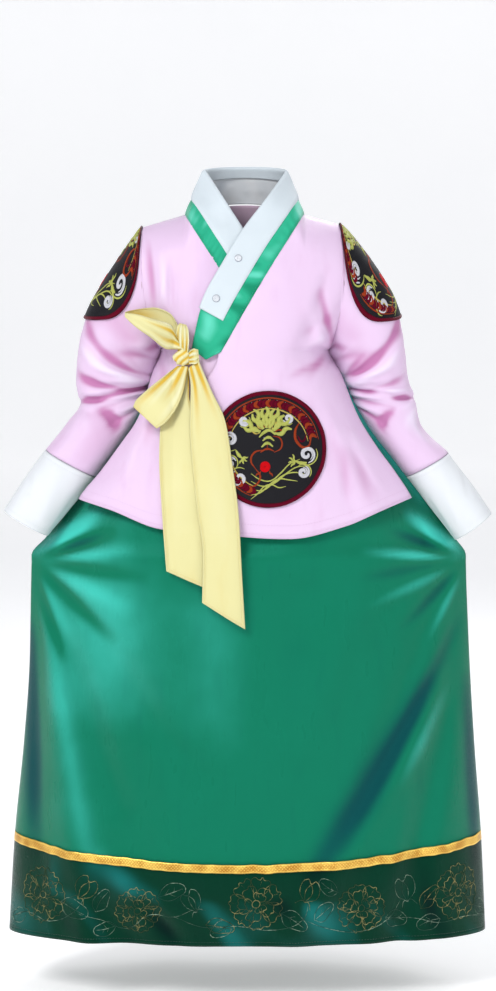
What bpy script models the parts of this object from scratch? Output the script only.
"""A child's hanbok for Blender 4.5: jacket, collar, cuffs, ribbon bow, roundels and full skirt.

The garment is worn: +Z is up, the wearer faces -Y, and the wearer's left is +X. The origin lies
between the shoulder seams, where the shoulders carry the jacket. Every piece of cloth is a wall
through a grid of points that its own surface function gives.
"""

import math
from collections import namedtuple
from functools import partial

import bmesh
import bpy
from mathutils import Vector

CLOTH = 0.0014  # thickness of every cloth wall
SEAM = 0.0004  # clear space between two pieces at a seam
LIFT = CLOTH + SEAM  # how far a piece that lies on another stands out from it

Tip = namedtuple("Tip", "x z")
SHOULDER_TIP = {-1: Tip(0.1225, -0.0175), 1: Tip(0.1125, -0.0140)}  # by side, -1 is the right
NECK_SIDE_X = 0.0715
NECK_SIDE_Z = -0.0025
SHOULDER_ROUND = 0.045  # drop over which the cloth turns over the shoulder
ARMHOLE_DEPTH = 0.056  # half the front-to-back size of an armhole
ARMHOLE_LOW_Z = -0.1645
ARMHOLE_LOW_X = 0.1035
ARMHOLE_FLARE = 0.009
UNDER = 0.0050  # how far the under front lies inside the over front

FLAT = 2.4  # 2 would make the body's section an ellipse; more makes its front flatter

ROUNDEL_RADIUS = 0.068
FRONT_ROUNDEL_X = 0.0275
FRONT_ROUNDEL_Z = -0.2785
ROUNDEL_START = 0.0045  # from a shoulder roundel's edge up to the armhole
ROUNDEL_SQUEEZE = 0.84  # a sleeve's rings lie further apart under the roundel than lower down
ROUNDEL_FORWARD = 0.022  # turns that a shoulder roundel's middle lies forward of the outer side
ROUNDEL_EASE = 0.0008  # the roundel bridges the sleeve's small unevenness
SLEEVE_LENGTH = 0.325
SNAP_RADIUS = 0.0046
SNAP_HEIGHT = 0.0016
SNAP_EASE = 0.0003
TRIM_WIDTH = 0.0105
TRIM_EASE = 0.0008
HEM_Z = -0.874

# The jacket's width to either side, and the y of its centre and of its edges, at each height.
Body = namedtuple("Body", "z right left front_y edge_y back_y back_edge_y bend")
BODY = [
    Body(0.060, 0.1550, 0.1520, -0.040, 0.000, 0.052, 0.000, 0.50),
    Body(0.000, 0.1560, 0.1530, -0.050, 0.000, 0.062, 0.000, 0.50),
    Body(-0.030, 0.1540, 0.1520, -0.064, 0.000, 0.072, 0.000, 0.50),
    Body(-0.090, 0.1460, 0.1460, -0.086, 0.000, 0.084, 0.000, 0.50),
    Body(-0.130, 0.1255, 0.1255, -0.094, 0.000, 0.088, 0.000, 0.50),
    Body(-0.1645, 0.1045, 0.1045, -0.099, 0.000, 0.089, 0.002, 0.50),
    Body(-0.190, 0.1125, 0.1165, -0.101, -0.006, 0.090, 0.010, 0.50),
    Body(-0.234, 0.1270, 0.1355, -0.105, -0.024, 0.092, 0.018, 0.58),
    Body(-0.270, 0.1500, 0.1570, -0.111, -0.037, 0.097, 0.021, 0.64),
    Body(-0.302, 0.1715, 0.1780, -0.118, -0.050, 0.102, 0.022, 0.70),
    Body(-0.342, 0.1990, 0.2000, -0.127, -0.066, 0.109, 0.022, 0.76),
    Body(-0.390, 0.2150, 0.2160, -0.136, -0.072, 0.116, 0.022, 0.80),
]

# The collar's seam, its base, and its top edge along the two fronts; reach runs from the shoulder
# down to the end.
Edge = namedtuple("Edge", "reach x z")
LEFT_BASE = [Edge(0.0, 0.0705, -0.0025), Edge(0.5, 0.0215, -0.080), Edge(1.0, -0.0282, -0.1652)]
LEFT_TOP = [
    Edge(0.0, 0.0495, 0.0480),
    Edge(0.13, 0.0275, 0.0170),
    Edge(0.28, -0.0018, -0.0216),
    Edge(0.38, -0.0190, -0.0490),
    Edge(0.84, -0.0535, -0.1150),
    Edge(1.0, -0.0635, -0.1600),
]
RIGHT_BASE = [Edge(0.0, -0.0725, -0.0025), Edge(0.6, -0.0310, -0.0660), Edge(1.0, -0.002, -0.1100)]
RIGHT_TOP = [
    Edge(0.0, -0.0485, 0.0500),
    Edge(0.28, -0.0250, 0.0140),
    Edge(0.60, -0.0023, -0.0216),
    Edge(1.0, 0.0270, -0.0680),
]
LEFT_CROSSING, RIGHT_CROSSING = 0.28, 0.60  # reaches at which the two ends cross
NECK_FRONT_Y = -0.0605  # the crossing's place in front of the neck
COLLAR_TIP_DROP = 0.0115
COLLAR_GAP = 0.0014  # from the collar's lower edge to the cloth that it is sewn to
STRIP_ACROSS = (1.0, 0.78, 0.56, 0.34)  # places across the collar that the white strip covers
STRIP_LAST = 28  # the station where it stops along the left front
COLLAR_EASE = 0.0004

# The over front's covering edge: the collar's top edge from the crossing down, and then its own.
Lap = namedtuple("Lap", "z x")
LAP = [Lap(edge.z, edge.x) for edge in LEFT_TOP[2:]]
OVERLAP_X = -0.055
UNDERLAP_X = 0.045
Hem = namedtuple("Hem", "x z")
JACKET_HEM = [
    Hem(-0.215, -0.337),
    Hem(-0.194, -0.3425),
    Hem(-0.159, -0.3515),
    Hem(-0.100, -0.3715),
    Hem(-0.040, -0.3770),
    Hem(0.053, -0.3825),
    Hem(0.120, -0.3685),
    Hem(0.160, -0.3530),
    Hem(0.199, -0.3400),
    Hem(0.215, -0.336),
]

# A sleeve's sections, from the armhole to the cuff's mouth: the outermost and innermost points.
Ring = namedtuple("Ring", "out_x out_z in_x in_z y depth")
RIGHT_SLEEVE = [
    Ring(0.1225, -0.0175, 0.1035, -0.1645, 0.000, 0.056),
    Ring(0.1475, -0.0490, 0.1060, -0.1680, 0.000, 0.054),
    Ring(0.1750, -0.0920, 0.1095, -0.1730, 0.000, 0.051),
    Ring(0.1940, -0.1310, 0.1130, -0.1800, 0.000, 0.048),
    Ring(0.2025, -0.1700, 0.1160, -0.1920, 0.001, 0.045),
    Ring(0.2050, -0.2050, 0.1180, -0.2080, 0.002, 0.043),
    Ring(0.2005, -0.2310, 0.1225, -0.2250, 0.000, 0.040),
    Ring(0.2150, -0.2530, 0.1370, -0.2560, -0.008, 0.039),
    Ring(0.2400, -0.2843, 0.1780, -0.3180, -0.026, 0.036),
]
LEFT_SLEEVE = [
    Ring(0.1125, -0.0140, 0.1035, -0.1645, 0.000, 0.056),
    Ring(0.1450, -0.0460, 0.1060, -0.1680, 0.000, 0.054),
    Ring(0.1730, -0.0900, 0.1090, -0.1730, 0.000, 0.051),
    Ring(0.1880, -0.1297, 0.1130, -0.1810, 0.000, 0.048),
    Ring(0.1940, -0.1680, 0.1180, -0.1940, 0.001, 0.045),
    Ring(0.1990, -0.2030, 0.1250, -0.2110, 0.002, 0.042),
    Ring(0.2065, -0.2260, 0.1320, -0.2300, 0.000, 0.039),
    Ring(0.2120, -0.2540, 0.1480, -0.2560, -0.008, 0.037),
    Ring(0.2450, -0.2880, 0.1945, -0.3170, -0.026, 0.032),
]
RIGHT_CUFF = [
    Ring(0.2403, -0.2848, 0.1783, -0.3185, -0.0263, 0.0360),
    Ring(0.2650, -0.3180, 0.2080, -0.3530, -0.0420, 0.0340),
    Ring(0.2887, -0.3549, 0.2357, -0.3861, -0.0560, 0.0310),
]
LEFT_CUFF = [
    Ring(0.2453, -0.2885, 0.1948, -0.3175, -0.0263, 0.0320),
    Ring(0.2700, -0.3210, 0.2230, -0.3540, -0.0420, 0.0315),
    Ring(0.2955, -0.3585, 0.2515, -0.3910, -0.0560, 0.0300),
]

# The skirt's sections: the two side tips, the walls' depths and how round the section is.
Skirt = namedtuple("Skirt", "z right left tip_y front_y back_y bend")
SKIRT = [
    Skirt(-0.120, 0.0930, 0.0930, 0.000, -0.085, 0.078, 0.50),
    Skirt(-0.162, 0.0940, 0.0940, 0.000, -0.091, 0.082, 0.50),
    Skirt(-0.190, 0.1070, 0.1090, -0.002, -0.095, 0.083, 0.55),
    Skirt(-0.230, 0.1225, 0.1300, -0.012, -0.101, 0.086, 0.65),
    Skirt(-0.256, 0.1355, 0.1465, -0.016, -0.106, 0.088, 0.72),
    Skirt(-0.317, 0.1755, 0.1930, -0.030, -0.118, 0.094, 0.84),
    Skirt(-0.388, 0.2340, 0.2470, -0.045, -0.130, 0.100, 0.92),
    Skirt(-0.411, 0.2565, 0.2655, -0.048, -0.133, 0.102, 0.95),
    Skirt(-0.450, 0.2580, 0.2672, -0.047, -0.131, 0.105, 0.90),
    Skirt(-0.540, 0.2608, 0.2720, -0.042, -0.138, 0.114, 0.78),
    Skirt(-0.640, 0.2690, 0.2790, -0.036, -0.144, 0.124, 0.67),
    Skirt(-0.760, 0.2820, 0.2890, -0.030, -0.147, 0.133, 0.59),
    Skirt(-0.874, 0.2896, 0.2951, -0.026, -0.112, 0.132, 0.55),
]
SKIRT_TOP_Z = -0.1625
BAND_TOP_Z = -0.125
SKIRT_CLEAR = 0.0095  # from the jacket's outside in to the skirt's wall
JACKET_LOW_Z = -0.405
TRIM_SIDE_Z = -0.7555
TRIM_CENTRE_Z = -0.7715

# Long creases of the skirt, from where the cloth is lifted down to the hem; depth below zero
# is a trough and above zero a ridge.
Crease = namedtuple("Crease", "x_top z_top x_low z_low width depth")
FRONT_CREASES = [
    Crease(-0.240, -0.430, -0.150, -0.700, 0.016, -0.008),
    Crease(-0.246, -0.450, -0.190, -0.880, 0.020, 0.010),
    Crease(-0.225, -0.430, -0.060, -0.660, 0.020, -0.006),
    Crease(0.245, -0.440, 0.120, -0.730, 0.018, -0.008),
    Crease(0.250, -0.470, 0.060, -0.860, 0.026, 0.010),
    Crease(0.255, -0.520, 0.180, -0.880, 0.018, -0.010),
    Crease(0.150, -0.400, 0.060, -0.620, 0.030, 0.005),
    Crease(-0.120, -0.400, -0.060, -0.860, 0.040, 0.007),
    Crease(0.020, -0.420, 0.010, -0.880, 0.045, 0.005),
    Crease(-0.200, -0.800, -0.130, -0.880, 0.020, -0.007),
]
BACK_CREASES = [
    Crease(-0.235, -0.430, -0.120, -0.720, 0.018, -0.009),
    Crease(-0.245, -0.470, -0.190, -0.880, 0.022, 0.010),
    Crease(0.240, -0.430, 0.110, -0.740, 0.018, -0.009),
    Crease(0.250, -0.480, 0.200, -0.880, 0.022, 0.010),
    Crease(-0.070, -0.300, -0.080, -0.880, 0.030, 0.009),
    Crease(0.070, -0.320, 0.085, -0.880, 0.030, 0.009),
    Crease(0.000, -0.300, 0.000, -0.880, 0.028, -0.008),
]
# Creases of the jacket's front.
JACKET_CREASES = [
    Crease(0.100, -0.085, 0.068, -0.165, 0.012, -0.005),
    Crease(0.085, -0.210, 0.150, -0.345, 0.014, 0.005),
    Crease(-0.080, -0.180, -0.130, -0.330, 0.016, -0.005),
    Crease(-0.070, -0.060, -0.098, -0.140, 0.014, -0.004),
]

# Strips of ribbon: each row is a crosswise line from one edge to the other. front is how far
# the line lies in front of the chest at its height, and crown how far its middle stands out.
Line = namedtuple("Line", "x1 z1 x2 z2 front crown")
UPPER_LOOP = [
    Line(-0.0800, -0.1475, -0.0700, -0.1612, 0.0115, 0.001),
    Line(-0.0900, -0.1200, -0.0930, -0.1570, 0.0240, 0.005),
    Line(-0.1080, -0.1140, -0.1150, -0.1500, 0.0270, 0.006),
    Line(-0.1260, -0.1180, -0.1320, -0.1430, 0.0210, 0.004),
    Line(-0.1390, -0.1250, -0.1400, -0.1370, 0.0120, 0.001),
    Line(-0.1330, -0.1180, -0.1300, -0.1370, 0.0040, -0.001),
    Line(-0.1120, -0.1120, -0.1130, -0.1480, 0.0030, -0.001),
    Line(-0.0900, -0.1240, -0.0930, -0.1520, 0.0050, -0.001),
]
LOWER_LOOP = [
    Line(-0.0800, -0.1817, -0.0670, -0.1821, 0.0097, 0.000),
    Line(-0.1010, -0.2020, -0.0672, -0.2060, 0.0115, 0.004),
    Line(-0.1200, -0.2260, -0.0700, -0.2330, 0.0150, 0.007),
    Line(-0.1240, -0.2420, -0.0730, -0.2480, 0.0120, 0.006),
    Line(-0.1170, -0.2530, -0.0740, -0.2570, 0.0085, 0.003),
]
UNDER_TAIL = [
    Line(-0.0900, -0.2150, -0.0660, -0.2150, 0.0030, 0.0010),
    Line(-0.1000, -0.2500, -0.0580, -0.2500, 0.0022, 0.0015),
    Line(-0.1010, -0.2900, -0.0520, -0.2950, 0.0020, 0.0015),
    Line(-0.0970, -0.3550, -0.0500, -0.3650, 0.0045, 0.0015),
    Line(-0.0920, -0.4200, -0.0500, -0.4400, 0.0100, 0.0015),
]
OVER_TAIL = [
    Line(-0.0667, -0.1842, -0.0551, -0.1734, 0.0100, 0.000),
    Line(-0.0640, -0.2080, -0.0380, -0.2120, 0.0090, 0.004),
    Line(-0.0650, -0.2520, -0.0230, -0.2450, 0.0080, 0.005),
    Line(-0.0610, -0.3060, -0.0140, -0.3000, 0.0049, 0.005),
    Line(-0.0560, -0.3480, -0.0070, -0.3550, 0.0090, 0.004),
    Line(-0.0490, -0.4000, -0.0035, -0.4200, 0.0130, 0.003),
    Line(-0.0500, -0.4560, 0.0005, -0.4870, 0.0150, 0.003),
]
CHEST_TURN_X = -0.085  # the bow's strips run straight on where the chest turns back
KNOT_X, KNOT_Z = -0.0715, -0.1715
KNOT_FRONT = 0.0089
KNOT_WIDTH, KNOT_DEPTH, KNOT_HEIGHT = 0.0135, 0.0080, 0.0105

PINK = (0.88, 0.60, 0.80)
WHITE = (0.88, 0.90, 0.95)
GREEN = (0.02, 0.42, 0.24)
EMERALD = (0.01, 0.26, 0.13)
DARK_GREEN = (0.01, 0.11, 0.06)
GOLD = (0.80, 0.42, 0.05)
YELLOW = (0.93, 0.82, 0.30)
BLACK = (0.015, 0.013, 0.018)


def read(rows, place, column):
    """The value of a column at a place along the table's first column, on a smooth curve."""
    ordered = sorted(rows, key=lambda row: row[0])
    xs = [row[0] for row in ordered]
    ys = [getattr(row, column) for row in ordered]
    place = min(max(place, xs[0]), xs[-1])
    slopes = [(b - a) / (q - p) for a, b, p, q in zip(ys, ys[1:], xs, xs[1:])]
    tangents = [slopes[0]]
    for before, after in zip(slopes, slopes[1:]):
        same_way = before * after > 0
        tangents.append(2 * before * after / (before + after) if same_way else 0.0)
    tangents.append(slopes[-1])
    index = 0
    while index < len(xs) - 2 and place > xs[index + 1]:
        index += 1
    span = xs[index + 1] - xs[index]
    t = (place - xs[index]) / span
    start = (1 + 2 * t) * (1 - t) ** 2 * ys[index] + t * (1 - t) ** 2 * span * tangents[index]
    end = t * t * (3 - 2 * t) * ys[index + 1] - t * t * (1 - t) * span * tangents[index + 1]
    return start + end


def mix(a, b, t):
    return a + (b - a) * t


def smooth(t):
    t = min(max(t, 0.0), 1.0)
    return t * t * (3 - 2 * t)


def crease_sum(creases, x, z):
    """How far a list of creases moves the cloth out at one place."""
    total = 0.0
    for c in creases:
        run = Vector((c.x_low - c.x_top, c.z_low - c.z_top))
        along = (Vector((x - c.x_top, z - c.z_top)) @ run) / run.length_squared
        nearest = min(max(along, 0.0), 1.0)
        near_x = c.x_top + run.x * nearest
        near_z = c.z_top + run.y * nearest
        gone = math.hypot(x - near_x, z - near_z) / c.width
        total += c.depth * math.exp(-gone * gone) * math.sin(math.pi * mix(0.12, 0.75, nearest))
    return total


def shoulder_z(x):
    """Height of the line along which the jacket turns over the shoulder and up the neck."""
    if abs(x) > NECK_SIDE_X:
        tip = SHOULDER_TIP[1 if x > 0 else -1]
        return mix(NECK_SIDE_Z, tip.z, (abs(x) - NECK_SIDE_X) / (tip.x - NECK_SIDE_X))
    return NECK_SIDE_Z + 0.055 * (1 - (x / NECK_SIDE_X) ** 4)


def over_shoulder(x, z):
    drop = min(max((shoulder_z(x) - z) / SHOULDER_ROUND, 0.0), 1.0)
    return math.sqrt(1 - (1 - drop) ** 2)


def half_width(side, z):
    return read(BODY, z, "left" if side > 0 else "right")


def body_y(x, z, centre, edge):
    """The y of the jacket's cloth at (x, z), on its front or its back."""
    across = min(abs(x) / half_width(x, z), 1.0)
    centre_y, edge_y = read(BODY, z, centre), read(BODY, z, edge)
    bend = read(BODY, z, "bend")
    return (edge_y + (centre_y - edge_y) * (1 - across**FLAT) ** bend) * over_shoulder(x, z)


def front_y(x, z):
    return body_y(x, z, "front_y", "edge_y") - crease_sum(JACKET_CREASES, x, z)


def back_y(x, z):
    return body_y(x, z, "back_y", "back_edge_y")


def front_normal(x, z, step=0.002):
    slope_x = (front_y(x + step, z) - front_y(x - step, z)) / (2 * step)
    slope_z = (front_y(x, z + step) - front_y(x, z - step)) / (2 * step)
    return Vector((slope_x, -1, slope_z)).normalized()


def lap_x(z):
    """The x of the over front's covering edge, from the collar's crossing down to the hem."""
    if z > LEFT_TOP[-1].z:
        return read(LAP, z, "x")
    return mix(LEFT_TOP[-1].x, OVERLAP_X, smooth((LEFT_TOP[-1].z - z) / 0.05))


def under_y(x, z, out=0.0):
    """The under front: it sinks inside the over front before the over front covers it."""
    sunk = smooth((x - lap_x(z) + 0.036) / 0.030)
    return front_y(x, z) + UNDER * sunk - out


def armhole(side, turn):
    """A point of the armhole's edge. turn is 0 at the shoulder, a quarter at the front."""
    angle = 2 * math.pi * turn
    tip = SHOULDER_TIP[side]
    middle_x, half_x = (tip.x + ARMHOLE_LOW_X) / 2, (tip.x - ARMHOLE_LOW_X) / 2
    middle_z, half_z = (tip.z + ARMHOLE_LOW_Z) / 2, (tip.z - ARMHOLE_LOW_Z) / 2
    x = middle_x + half_x * math.cos(angle) + ARMHOLE_FLARE * math.sin(angle) ** 2
    return Vector((side * x, -ARMHOLE_DEPTH * math.sin(angle), middle_z + half_z * math.cos(angle)))


def grid_normals(rows, around):
    """The outward normal at each point of a grid whose rows run down the outside of a piece."""
    normals = []
    for r, row in enumerate(rows):
        above, below = rows[max(r - 1, 0)], rows[min(r + 1, len(rows) - 1)]
        line = []
        for c in range(len(row)):
            before = row[c - 1] if c or around else row[0]
            after = row[(c + 1) % len(row)] if c + 1 < len(row) or around else row[c]
            line.append((below[c] - above[c]).cross(after - before).normalized())
        normals.append(line)
    return normals


def add_mesh(object_name, bm, finish):
    mesh = bpy.data.meshes.new(object_name)
    bm.to_mesh(mesh)
    bm.free()
    mesh.shade_smooth()
    mesh.set_sharp_from_angle(angle=math.radians(50))
    mesh.materials.append(finish)
    piece = bpy.data.objects.new(object_name, mesh)
    bpy.context.scene.collection.objects.link(piece)
    return piece


def cloth_wall(object_name, rows, finish, around=False, outward=False, keep=None):
    """One piece of cloth: a grid of points whose rows run down it, given a wall's thickness.

    The second face lies inside the grid, or outside it where outward is set. keep(row, point,
    moved) may hold that face back at a seam, so that the pieces there meet face to face.
    """
    way = 1 if outward else -1
    second = []
    for r, (row, normals) in enumerate(zip(rows, grid_normals(rows, around))):
        moved = [point + normal * CLOTH * way for point, normal in zip(row, normals)]
        second.append([keep(r, *pair) for pair in zip(row, moved)] if keep else moved)
    outer_rows, inner_rows = (second, rows) if outward else (rows, second)
    bm = bmesh.new()
    outer = [[bm.verts.new(point) for point in row] for row in outer_rows]
    inner = [[bm.verts.new(point) for point in row] for row in inner_rows]
    columns = len(rows[0])
    for r in range(len(rows) - 1):
        for c in range(columns if around else columns - 1):
            d = (c + 1) % columns
            bm.faces.new((outer[r][c], outer[r + 1][c], outer[r + 1][d]))
            bm.faces.new((outer[r][c], outer[r + 1][d], outer[r][d]))
            bm.faces.new((inner[r + 1][c], inner[r][c], inner[r + 1][d]))
            bm.faces.new((inner[r + 1][d], inner[r][c], inner[r][d]))
    for c in range(columns if around else columns - 1):
        d = (c + 1) % columns
        bm.faces.new((outer[0][c], outer[0][d], inner[0][d], inner[0][c]))
        bm.faces.new((outer[-1][d], outer[-1][c], inner[-1][c], inner[-1][d]))
    if not around:
        for r in range(len(rows) - 1):
            bm.faces.new((outer[r + 1][0], outer[r][0], inner[r][0], inner[r + 1][0]))
            bm.faces.new((outer[r][-1], outer[r + 1][-1], inner[r + 1][-1], inner[r][-1]))
    return add_mesh(object_name, bm, finish)


def keep_front(row, point, moved):
    return Vector((moved.x, min(moved.y, -SEAM / 2), moved.z))


def keep_back(row, point, moved):
    return Vector((moved.x, max(moved.y, SEAM / 2), moved.z))


def keep_armhole(row, point, moved):
    """A sleeve's first ring keeps its wall on the sleeve's side of the seam."""
    if row == 0:
        moved = Vector((math.copysign(max(abs(moved.x), abs(point.x)), point.x), *moved.yz))
    return moved


def finish_of(name, colour, roughness, metallic=0.0):
    finish = bpy.data.materials.new(name)
    finish.use_nodes = True
    shader = finish.node_tree.nodes["Principled BSDF"]
    shader.inputs["Base Color"].default_value = (*colour, 1.0)
    shader.inputs["Roughness"].default_value = roughness
    shader.inputs["Metallic"].default_value = metallic
    finish.diffuse_color = (*colour, 1.0)
    return finish


PANEL_ROWS = 21
PANEL_ARM_ROWS = 12
PANEL_COLUMNS = 9
SEAM_X = 0.0005


def closer_outside(t):
    """Spaces columns closer together towards the outer edge, where the cloth turns back."""
    return mix(t, math.sin(math.pi / 2 * t), 0.75)


def jacket_half(side, base, lap, y_of):
    """The rows of one front, from its collar edge or free edge out to the armhole and side."""
    rows = []
    for row in range(PANEL_ROWS + 1):
        arm_reach = min(row / PANEL_ARM_ROWS, 1.0)
        low_reach = max((row - PANEL_ARM_ROWS) / (PANEL_ROWS - PANEL_ARM_ROWS), 0.0)
        inner_x, inner_z = read(base, arm_reach, "x"), read(base, arm_reach, "z")
        outer = armhole(side, arm_reach / 2)
        outer_x, outer_z = outer.x, outer.z
        pull = (outer.y - y_of(outer_x, outer_z)) * (1 - smooth(low_reach * 5))
        if low_reach:
            inner_x = mix(base[-1].x, lap, smooth(low_reach * 4))
            hem_corner = side * 0.1965
            outer_z = mix(ARMHOLE_LOW_Z, read(JACKET_HEM, hem_corner, "z"), low_reach)
            outer_x = side * (half_width(side, outer_z) - SEAM_X)
        inner_x += side * COLLAR_GAP
        points = []
        for column in range(PANEL_COLUMNS + 1):
            u = closer_outside(column / PANEL_COLUMNS)
            x = mix(inner_x, outer_x, u)
            z = mix(inner_z, mix(outer_z, ARMHOLE_LOW_Z, float(low_reach > 0)), u)
            z = mix(z, read(JACKET_HEM, x, "z"), low_reach)
            y = min(y_of(x, z) + pull * u ** (5 + 70 * low_reach), -SEAM / 2)
            points.append(Vector((x, y, z)))
        rows.append(points if side > 0 else points[::-1])
    return rows


def jacket_back_rows():
    rows = []
    count = 2 * PANEL_COLUMNS - 2
    for row in range(PANEL_ROWS + 1):
        arm_reach = min(row / PANEL_ARM_ROWS, 1.0)
        low_reach = max((row - PANEL_ARM_ROWS) / (PANEL_ROWS - PANEL_ARM_ROWS), 0.0)
        points = []
        for column in range(count + 1):
            across = 1 - 2 * column / count
            across = math.copysign(closer_outside(abs(across)), across)
            side = 1 if across > 0 else -1
            outer = armhole(side, -arm_reach / 2)
            outer_x, outer_z = abs(outer.x), outer.z
            pull = (outer.y - back_y(outer.x, outer_z)) * (1 - smooth(low_reach * 3))
            if low_reach:
                outer_z = mix(ARMHOLE_LOW_Z, -0.338, low_reach)
                outer_x = half_width(side, outer_z) - SEAM_X - 0.016 * smooth(low_reach * 2)
            x = across * outer_x
            neck = max(1 - (x / NECK_SIDE_X) ** 2, 0.0)
            top_z = shoulder_z(x) if abs(x) > NECK_SIDE_X else NECK_SIDE_Z + 0.012 * neck
            low_z = -0.163 - 0.006 * (1 - across**2)
            z = mix(top_z, low_z, arm_reach)
            if arm_reach < 1:
                z += (outer_z - mix(SHOULDER_TIP[side].z, low_z, arm_reach)) * across**2
            z = mix(z, -0.377 + 0.037 * abs(across) ** 2.4, low_reach)
            y = max(back_y(x, z) + pull * abs(across) ** (7 + 40 * low_reach), SEAM / 2)
            points.append(Vector((x, y, z)))
        rows.append(points)
    return rows


def ring_point(ring, side, turn):
    """A point of a sleeve's or cuff's section, turn running from the outer side to the front."""
    angle = 2 * math.pi * turn
    outer = Vector((side * ring.out_x, ring.y, ring.out_z))
    inner = Vector((side * ring.in_x, ring.y, ring.in_z))
    forward = Vector((0, -ring.depth, 0))
    across = (outer - inner) / 2
    return (outer + inner) / 2 + across * math.cos(angle) + forward * math.sin(angle)


SLEEVE_SIDES = 20
SLEEVE_ROWS = 13
CUFF_ROWS = 4
BLEND_REACH = 0.30


def ring_at(rings, reach):
    """The sleeve's section at a reach from 0, the armhole, to 1, the last section."""
    station = namedtuple("Station", ("reach",) + Ring._fields)
    stations = [station(i / (len(rings) - 1), *ring) for i, ring in enumerate(rings)]
    return Ring(*(read(stations, reach, column) for column in Ring._fields))


def sleeve_surface(rings, side, reach, turn):
    hole = armhole(side, turn) + Vector((side * SEAM, 0, 0))
    return hole.lerp(ring_point(ring_at(rings, reach), side, turn), smooth(reach / BLEND_REACH))


def sleeve_point(rings, side, reach, turn, out=0.0, step=0.01):
    """A point of the sleeve, moved out of its surface."""
    down = sleeve_surface(rings, side, reach + step, turn)
    down -= sleeve_surface(rings, side, max(reach - step, 0), turn)
    round_it = sleeve_surface(rings, side, reach, turn + step)
    round_it -= sleeve_surface(rings, side, reach, turn - step)
    normal = round_it.cross(down).normalized() * side
    return sleeve_surface(rings, side, reach, turn) + normal * out


def tube_rows(rings, side, rows, is_sleeve):
    grid = []
    for row in range(rows + 1):
        reach = row / rows
        points = []
        for step in range(SLEEVE_SIDES):
            turn = step / SLEEVE_SIDES
            if is_sleeve:
                point = sleeve_surface(rings, side, reach, turn)
            else:
                point = ring_point(ring_at(rings, reach), side, turn)
            points.append(point)
        grid.append(points if side < 0 else points[::-1])
    return grid


DISC_RINGS = 5
DISC_SIDES = 26


def disc(object_name, place, finish):
    """A round piece laid on cloth; place gives a point at a radius, an angle and a height."""
    bm = bmesh.new()
    faces = []
    for out in (SEAM + CLOTH, SEAM):
        circles = [[bm.verts.new(place(0.0, 0.0, out))] * DISC_SIDES]
        for ring in range(1, DISC_RINGS + 1):
            turns = [2 * math.pi * side / DISC_SIDES for side in range(DISC_SIDES)]
            circles.append([bm.verts.new(place(ring / DISC_RINGS, turn, out)) for turn in turns])
        faces.append(circles)
    top, bottom = faces
    for i in range(DISC_SIDES):
        j = (i + 1) % DISC_SIDES
        bm.faces.new((top[0][i], top[1][i], top[1][j]))
        bm.faces.new((bottom[0][i], bottom[1][j], bottom[1][i]))
        for r in range(1, DISC_RINGS):
            bm.faces.new((top[r][i], top[r + 1][i], top[r + 1][j], top[r][j]))
            bm.faces.new((bottom[r][j], bottom[r + 1][j], bottom[r + 1][i], bottom[r][i]))
        bm.faces.new((top[-1][j], top[-1][i], bottom[-1][i], bottom[-1][j]))
    bmesh.ops.recalc_face_normals(bm, faces=bm.faces)
    return add_mesh(object_name, bm, finish)


def front_roundel_point(radius, angle, out):
    x = FRONT_ROUNDEL_X + ROUNDEL_RADIUS * radius * math.cos(angle)
    z = FRONT_ROUNDEL_Z + ROUNDEL_RADIUS * radius * math.sin(angle)
    return Vector((x, front_y(x, z), z)) + front_normal(x, z) * (out + ROUNDEL_EASE)


def shoulder_roundel_point(rings, side, radius, angle, out):
    """A roundel wrapped over a sleeve: along the sleeve, and around it both ways."""
    along = ROUNDEL_START + ROUNDEL_SQUEEZE * ROUNDEL_RADIUS * (1 + radius * math.cos(angle))
    reach = along / SLEEVE_LENGTH
    ring = ring_at(rings, reach)
    half = math.hypot(ring.out_x - ring.in_x, ring.out_z - ring.in_z) / 2
    around = ROUNDEL_RADIUS * radius * math.sin(angle)
    turn = ROUNDEL_FORWARD + around / (2 * math.pi * mix(half, ring.depth, 0.75))
    return sleeve_point(rings, side, reach, turn, out + ROUNDEL_EASE)


COLLAR_STATIONS = 32  # steps from the back of the neck to either front end
BACK_PART = 0.25  # the share of them that runs round the back of the neck


def collar_surface(station, across):
    """A point of the collar. station runs from -1 at the right end to 1 at the left end;
    across runs from the seam, at 0, to the top edge."""
    if abs(station) <= BACK_PART:
        angle = math.pi / 2 * (1 - station / BACK_PART)
        base = Vector((NECK_SIDE_X * math.cos(angle), 0.059 * math.sin(angle), 0))
        base.z = NECK_SIDE_Z + 0.0135 * math.sin(angle) ** 2
        top = Vector((0.049 * math.cos(angle), 0.046 * math.sin(angle), 0))
        top.z = 0.049 + 0.006 * math.sin(angle)
        return base.lerp(top, across)
    reach = (abs(station) - BACK_PART) / (1 - BACK_PART)
    base, top = (LEFT_BASE, LEFT_TOP) if station > 0 else (RIGHT_BASE, RIGHT_TOP)
    x = mix(read(base, reach, "x"), read(top, reach, "x"), across)
    z = mix(read(base, reach, "z"), read(top, reach, "z"), across)
    if station > 0:
        z -= COLLAR_TIP_DROP * (1 - abs(2 * across - 1)) * smooth((reach - 0.86) / 0.14)
    y = front_y(x, z) if station > 0 else under_y(x, z)
    crossing = min(reach / (LEFT_CROSSING if station > 0 else RIGHT_CROSSING), 1.0)
    round_y = NECK_FRONT_Y * math.sin(math.pi / 2 * crossing)
    y = mix(y, round_y, smooth(across) * (1 - smooth(crossing)))
    return Vector((x, y, z))


def collar_point(station, across, out=0.0):
    """The same, moved out of the collar's surface."""
    step = 0.03
    along = collar_surface(min(station + step, 1), across)
    along -= collar_surface(max(station - step, -1), across)
    up = collar_surface(station, across + step) - collar_surface(station, across - step)
    return collar_surface(station, across) + up.cross(along).normalized() * out


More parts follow.
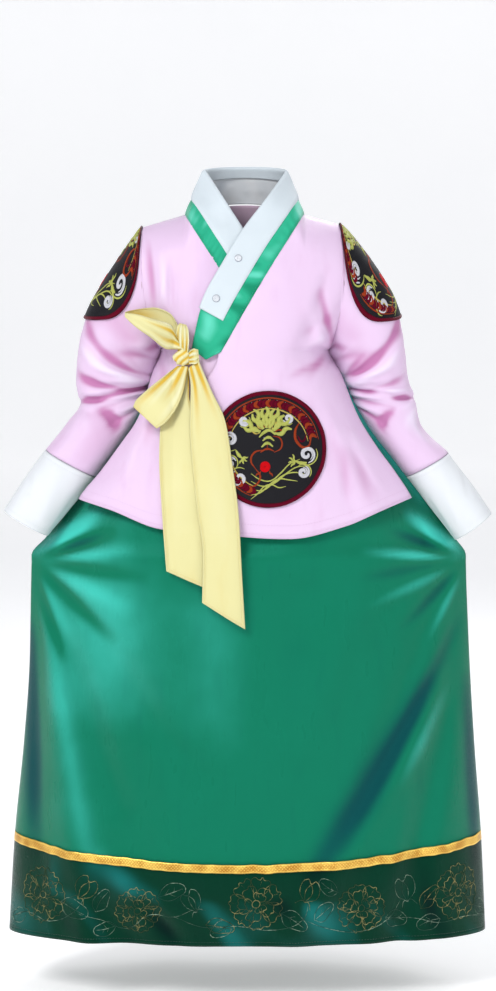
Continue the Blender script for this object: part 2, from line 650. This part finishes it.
def collar_rows(first, last, places, out=0.0):
    """Rows along the collar at places across it, between two of its stations."""
    stations = [i / COLLAR_STATIONS for i in range(last, first - 1, -1)]
    return [[collar_point(station, across, out) for station in stations] for across in places]


def soft_limit(value, limit, ease=0.002):
    """value, held below limit by a smooth turn."""
    over = (value - limit) / ease
    return limit if over > 8 else value - ease * math.log1p(math.exp(min(over, 30)))


def skirt_point(across, z, creases, front, out=0.0):
    """A point of the skirt's front or back wall; across runs from -1 at the right tip to 1."""
    tip_x = read(SKIRT, z, "left") if across > 0 else read(SKIRT, z, "right")
    x = across * tip_x
    tip_y = read(SKIRT, z, "tip_y")
    deep = read(SKIRT, z, "front_y" if front else "back_y") - tip_y
    way = -1 if front else 1
    bulge = abs(deep) * max(1 - abs(across) ** FLAT, 0.0) ** read(SKIRT, z, "bend")
    bulge += crease_sum(creases, x, z) * smooth((1 - abs(across)) / 0.15)
    if z > JACKET_LOW_Z:
        cloth = (front_y(x, z) if front else back_y(x, z)) - tip_y
        room = max(abs(cloth) - SKIRT_CLEAR, 0.0)
        bulge = mix(bulge, soft_limit(bulge, room), smooth((z - JACKET_LOW_Z) / 0.02))
        bulge = max(bulge, 0.0)
    return Vector((x, tip_y + way * (bulge + SEAM / 2 + out), z))


def trim_z(across):
    return mix(TRIM_CENTRE_Z, TRIM_SIDE_Z, abs(across) ** 1.6)


SKIRT_COLUMNS = 26
SKIRT_ROWS = 14
HEM_ROWS = 4


def skirt_across(column):
    """Columns lie closer together towards the two tips, where the cloth turns back."""
    t = 2 * column / SKIRT_COLUMNS - 1
    return math.copysign(1 - (1 - abs(t)) ** 1.25, t)


def skirt_rows(front, top, low, rows, out=0.0):
    """Rows between two lines, each of them a height for every place across the skirt."""
    creases = FRONT_CREASES if front else BACK_CREASES
    grid = []
    for row in range(rows + 1):
        points = []
        for column in range(SKIRT_COLUMNS + 1):
            across = skirt_across(column)
            z = mix(top(across), low(across), row / rows)
            points.append(skirt_point(across, z, creases, front))
        grid.append(points if front else points[::-1])
    if out:
        normals = grid_normals(grid, False)
        for points, line in zip(grid, normals):
            for index, normal in enumerate(line):
                points[index] = points[index] + normal * out
    return grid


def keep_skirt(way):
    """The skirt's front and back walls stay on their own sides of the side seams."""

    def keep(row, point, moved):
        seam_y = read(SKIRT, moved.z, "tip_y") + way * SEAM / 2
        y = min(moved.y, seam_y) if way < 0 else max(moved.y, seam_y)
        return Vector((moved.x, y, point.z))

    return keep


def bow_rest_y(x, z):
    """The jacket's front beneath the bow; below the hem it runs straight on down."""
    return front_y(max(x, CHEST_TURN_X), max(z, -0.375))


def ribbon_rows(lines, rows, columns=4):
    station = namedtuple("Station", ("reach",) + Line._fields)
    stations = [station(i / (len(lines) - 1), *line) for i, line in enumerate(lines)]
    grid = []
    for row in range(rows + 1):
        line = Line(*(read(stations, row / rows, column) for column in Line._fields))
        points = []
        for column in range(columns + 1):
            t = column / columns
            x, z = mix(line.x1, line.x2, t), mix(line.z1, line.z2, t)
            y = bow_rest_y(x, z) - line.front - line.crown * 4 * t * (1 - t)
            points.append(Vector((x, y, z)))
        grid.append(points)
    return grid


def make_jacket(pink):
    left = jacket_half(1, LEFT_BASE, OVERLAP_X, front_y)
    right = jacket_half(-1, RIGHT_BASE, UNDERLAP_X, under_y)
    cloth_wall("jacket_front_left", left, pink, keep=keep_front)
    cloth_wall("jacket_front_right", right, pink, keep=keep_front)
    cloth_wall("jacket_back", jacket_back_rows(), pink, keep=keep_back)


def make_sleeves(pink, white):
    for word, side, sleeve, cuff in (
        ("right", -1, RIGHT_SLEEVE, RIGHT_CUFF),
        ("left", 1, LEFT_SLEEVE, LEFT_CUFF),
    ):
        tube = tube_rows(sleeve, side, SLEEVE_ROWS, True)
        cloth_wall(f"sleeve_{word}", tube, pink, around=True, keep=keep_armhole)
        cuff_tube = tube_rows(cuff, side, CUFF_ROWS, False)
        cloth_wall(f"cuff_{word}", cuff_tube, white, around=True)


def make_collar(green, white):
    band = collar_rows(-COLLAR_STATIONS, COLLAR_STATIONS, (0.96, *STRIP_ACROSS[1:], 0.0))
    cloth_wall("collar_band", band, green)
    strip = collar_rows(1 - COLLAR_STATIONS, STRIP_LAST, STRIP_ACROSS, SEAM + COLLAR_EASE)
    cloth_wall("collar_strip", strip, white, outward=True)


def make_snaps(white):
    for word, station, across in (("upper", 0.552, 0.74), ("lower", 0.795, 0.72)):
        middle = collar_point(station, across, LIFT + COLLAR_EASE + SEAM + SNAP_HEIGHT / 2)
        bm = bmesh.new()
        bmesh.ops.create_cone(
            bm,
            cap_ends=True,
            segments=16,
            radius1=SNAP_RADIUS,
            radius2=SNAP_RADIUS * 0.8,
            depth=SNAP_HEIGHT,
        )
        snap = add_mesh(f"snap_{word}", bm, white)
        facing = front_normal(middle.x, middle.z)
        snap.rotation_mode = "QUATERNION"
        snap.rotation_quaternion = facing.to_track_quat("Z", "Y")
        snap.location = middle + facing * SNAP_EASE


def make_roundels(black):
    disc("roundel_front", front_roundel_point, black)
    for word, side, rings in (("right", -1, RIGHT_SLEEVE), ("left", 1, LEFT_SLEEVE)):
        disc(
            f"roundel_shoulder_{word}",
            partial(shoulder_roundel_point, rings, side),
            black,
        )


def make_skirt(emerald, dark, gold, white):
    def level(z):
        return lambda across: z

    def near_trim(shift):
        return lambda across: trim_z(across) + shift

    for word, front in (("front", True), ("back", False)):
        wall = partial(cloth_wall, outward=True, keep=keep_skirt(-1 if front else 1))
        panel = skirt_rows(front, level(SKIRT_TOP_Z), near_trim(SEAM / 2), SKIRT_ROWS)
        wall(f"skirt_{word}", panel, emerald)
        hem = skirt_rows(front, near_trim(-SEAM / 2), level(HEM_Z), HEM_ROWS)
        wall(f"hem_panel_{word}", hem, dark)
        upper, lower = near_trim(TRIM_WIDTH / 2), near_trim(-TRIM_WIDTH / 2)
        wall(f"gold_trim_{word}", skirt_rows(front, upper, lower, 1, LIFT + TRIM_EASE), gold)
        band = skirt_rows(front, level(BAND_TOP_Z), level(SKIRT_TOP_Z + SEAM), 2)
        wall(f"waistband_{word}", band, white)


def make_ribbon(yellow):
    for name, lines, rows in (
        ("ribbon_upper_loop", UPPER_LOOP, 14),
        ("ribbon_lower_loop", LOWER_LOOP, 7),
        ("ribbon_under_tail", UNDER_TAIL, 8),
        ("ribbon_over_tail", OVER_TAIL, 11),
    ):
        cloth_wall(name, ribbon_rows(lines, rows), yellow)
    bm = bmesh.new()
    bmesh.ops.create_icosphere(bm, subdivisions=2, radius=1.0)
    bmesh.ops.scale(bm, vec=(KNOT_WIDTH, KNOT_DEPTH, KNOT_HEIGHT), verts=bm.verts)
    knot_at = (KNOT_X, bow_rest_y(KNOT_X, KNOT_Z) - KNOT_FRONT, KNOT_Z)
    bmesh.ops.translate(bm, vec=knot_at, verts=bm.verts)
    add_mesh("ribbon_knot", bm, yellow)


def main():
    for obj in list(bpy.data.objects):
        bpy.data.objects.remove(obj)
    pink = finish_of("pink_satin", PINK, 0.40)
    white = finish_of("white_cotton", WHITE, 0.70)
    green = finish_of("green_satin", GREEN, 0.40)
    emerald = finish_of("emerald_satin", EMERALD, 0.32)
    dark = finish_of("printed_hem_satin", DARK_GREEN, 0.30)
    gold = finish_of("gold_braid", GOLD, 0.35, 0.6)
    yellow = finish_of("yellow_ribbon", YELLOW, 0.42)
    black = finish_of("embroidered_roundel", BLACK, 0.75)
    make_jacket(pink)
    make_sleeves(pink, white)
    make_collar(green, white)
    make_snaps(white)
    make_roundels(black)
    make_skirt(emerald, dark, gold, white)
    make_ribbon(yellow)


main()
